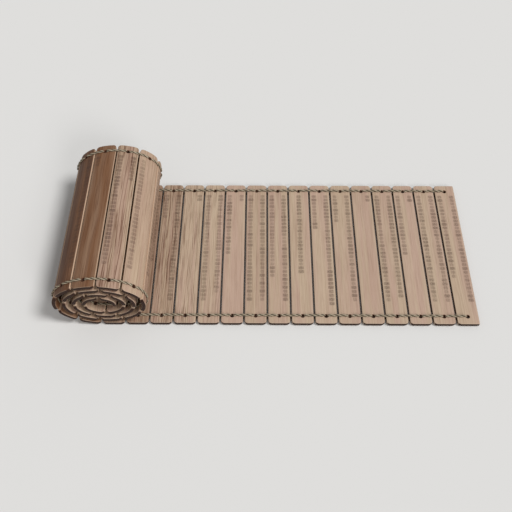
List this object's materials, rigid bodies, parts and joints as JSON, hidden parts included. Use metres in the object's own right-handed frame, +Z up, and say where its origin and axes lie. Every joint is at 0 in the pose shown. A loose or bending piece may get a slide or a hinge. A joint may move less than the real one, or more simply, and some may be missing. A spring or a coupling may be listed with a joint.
{
  "type": "bamboo slip book",
  "caption": "Book of narrow bamboo slips laced side by side with cord, lying part unrolled with the rest wound into a roll.",
  "frame": {"origin": "on the ground under the middle of the whole book", "axes": "+X along the mat from the roll to the free end, +Y along the slips, +Z up"},
  "size_m": [0.3708, 0.16, 0.0625],
  "materials": {
    "bamboo": "dry, fine grain, unvarnished",
    "lacing": "two-ply twisted cord"
  },
  "bodies": {
    "leaf_01": {"slip_01": "bamboo", "lacing_01": "lacing"},
    "leaf_02": {"slip_02": "bamboo", "lacing_02": "lacing"},
    "leaf_03": {"slip_03": "bamboo", "lacing_03": "lacing"},
    "leaf_04": {"slip_04": "bamboo", "lacing_04": "lacing"},
    "leaf_05": {"slip_05": "bamboo", "lacing_05": "lacing"},
    "leaf_06": {"slip_06": "bamboo", "lacing_06": "lacing"},
    "leaf_07": {"slip_07": "bamboo", "lacing_07": "lacing"},
    "leaf_08": {"slip_08": "bamboo", "lacing_08": "lacing"},
    "leaf_09": {"slip_09": "bamboo", "lacing_09": "lacing"},
    "leaf_10": {"slip_10": "bamboo", "lacing_10": "lacing"},
    "leaf_11": {"slip_11": "bamboo", "lacing_11": "lacing"},
    "leaf_12": {"slip_12": "bamboo", "lacing_12": "lacing"},
    "leaf_13": {"slip_13": "bamboo", "lacing_13": "lacing"},
    "leaf_14": {"slip_14": "bamboo", "lacing_14": "lacing"},
    "leaf_15": {"slip_15": "bamboo", "lacing_15": "lacing"},
    "leaf_16": {"slip_16": "bamboo", "lacing_16": "lacing"},
    "leaf_17": {"slip_17": "bamboo", "lacing_17": "lacing"},
    "leaf_18": {"slip_18": "bamboo", "lacing_18": "lacing"},
    "leaf_19": {"slip_19": "bamboo", "lacing_19": "lacing"},
    "leaf_20": {"slip_20": "bamboo", "lacing_20": "lacing"},
    "leaf_21": {"slip_21": "bamboo", "lacing_21": "lacing"},
    "core": {"slip_22": "bamboo", "slip_23": "bamboo", "slip_24": "bamboo", "slip_25": "bamboo", "slip_26": "bamboo", "slip_27": "bamboo", "slip_28": "bamboo", "slip_29": "bamboo", "slip_30": "bamboo", "slip_31": "bamboo", "slip_32": "bamboo", "slip_33": "bamboo", "slip_34": "bamboo", "slip_35": "bamboo", "slip_36": "bamboo", "slip_37": "bamboo", "inner_slips": "bamboo", "roll_lacing": "lacing"}
  },
  "joints": [
    {"name": "fold_01", "type": "hinge", "parent": "leaf_01", "child": "leaf_02", "pos_m": [0.16528, 0, 0.00275], "axis": [0, 1, 0], "range_deg": [0, 23.1], "deforming": ["lacing_01"]},
    {"name": "fold_02", "type": "hinge", "parent": "leaf_02", "child": "leaf_03", "pos_m": [0.14448, 0, 0.00275], "axis": [0, 1, 0], "range_deg": [0, 17], "deforming": ["lacing_02"]},
    {"name": "fold_03", "type": "hinge", "parent": "leaf_03", "child": "leaf_04", "pos_m": [0.12368, 0, 0.00275], "axis": [0, 1, 0], "range_deg": [0, 15.6], "deforming": ["lacing_03"]},
    {"name": "fold_04", "type": "hinge", "parent": "leaf_04", "child": "leaf_05", "pos_m": [0.10288, 0, 0.00275], "axis": [0, 1, 0], "range_deg": [0, 18], "deforming": ["lacing_04"]},
    {"name": "fold_05", "type": "hinge", "parent": "leaf_05", "child": "leaf_06", "pos_m": [0.08208, 0, 0.00275], "axis": [0, 1, 0], "range_deg": [0, 26.2], "deforming": ["lacing_05"]},
    {"name": "fold_06", "type": "hinge", "parent": "leaf_06", "child": "leaf_07", "pos_m": [0.06128, 0, 0.00275], "axis": [0, 1, 0], "range_deg": [0, 40.5], "deforming": ["lacing_06"]},
    {"name": "fold_07", "type": "hinge", "parent": "leaf_07", "child": "leaf_08", "pos_m": [0.04048, 0, 0.00275], "axis": [0, 1, 0], "range_deg": [0, 39.3], "deforming": ["lacing_07"]},
    {"name": "fold_08", "type": "hinge", "parent": "leaf_08", "child": "leaf_09", "pos_m": [0.01968, 0, 0.00275], "axis": [0, 1, 0], "range_deg": [0, 25.4], "deforming": ["lacing_08"]},
    {"name": "fold_09", "type": "hinge", "parent": "leaf_09", "child": "leaf_10", "pos_m": [-0.00112, 0, 0.00275], "axis": [0, 1, 0], "range_deg": [0, 18.6], "deforming": ["lacing_09"]},
    {"name": "fold_10", "type": "hinge", "parent": "leaf_10", "child": "leaf_11", "pos_m": [-0.02192, 0, 0.00275], "axis": [0, 1, 0], "range_deg": [0, 17.9], "deforming": ["lacing_10"]},
    {"name": "fold_11", "type": "hinge", "parent": "leaf_11", "child": "leaf_12", "pos_m": [-0.04272, 0, 0.00275], "axis": [0, 1, 0], "range_deg": [0, 23.1], "deforming": ["lacing_11"]},
    {"name": "fold_12", "type": "hinge", "parent": "leaf_12", "child": "leaf_13", "pos_m": [-0.06352, 0, 0.00275], "axis": [0, 1, 0], "range_deg": [0, 38.2], "deforming": ["lacing_12"]},
    {"name": "fold_13", "type": "hinge", "parent": "leaf_13", "child": "leaf_14", "pos_m": [-0.08432, 0, 0.00275], "axis": [0, 1, 0], "range_deg": [0, 47.4], "deforming": ["lacing_13"]},
    {"name": "fold_14", "type": "hinge", "parent": "leaf_14", "child": "leaf_15", "pos_m": [-0.10512, 0, 0.00275], "axis": [0, 1, 0], "range_deg": [0, 30.3], "deforming": ["lacing_14"]},
    {"name": "fold_15", "type": "hinge", "parent": "leaf_15", "child": "leaf_16", "pos_m": [-0.12592, 0, 0.00275], "axis": [0, 1, 0], "range_deg": [0, 26.6], "deforming": ["lacing_15"]},
    {"name": "fold_16", "type": "hinge", "parent": "leaf_16", "child": "leaf_17", "pos_m": [-0.14672, 0, 0.00275], "axis": [0, 1, 0], "range_deg": [-16.3, 0], "deforming": ["lacing_16"]},
    {"name": "fold_17", "type": "hinge", "parent": "leaf_17", "child": "leaf_18", "pos_m": [-0.16652, 0, 0.00866], "axis": [0, 1, 0], "range_deg": [-28.4, 0], "deforming": ["lacing_17"]},
    {"name": "fold_18", "type": "hinge", "parent": "leaf_18", "child": "leaf_19", "pos_m": [-0.18078, 0, 0.02328], "axis": [0, 1, 0], "range_deg": [-50.3, 0], "deforming": ["lacing_18"]},
    {"name": "fold_19", "type": "hinge", "parent": "leaf_19", "child": "leaf_20", "pos_m": [-0.1791, 0, 0.04318], "axis": [0, 1, 0], "range_deg": [-47.2, 0], "deforming": ["lacing_19"]},
    {"name": "fold_20", "type": "hinge", "parent": "leaf_20", "child": "leaf_21", "pos_m": [-0.1631, 0, 0.05595], "axis": [0, 1, 0], "range_deg": [-27.3, 0], "deforming": ["lacing_20"]},
    {"name": "fold_21", "type": "hinge", "parent": "leaf_21", "child": "core", "pos_m": [-0.1428, 0, 0.05975], "axis": [0, 1, 0], "range_deg": [-22.5, 0], "deforming": ["lacing_21"]}
  ]
}
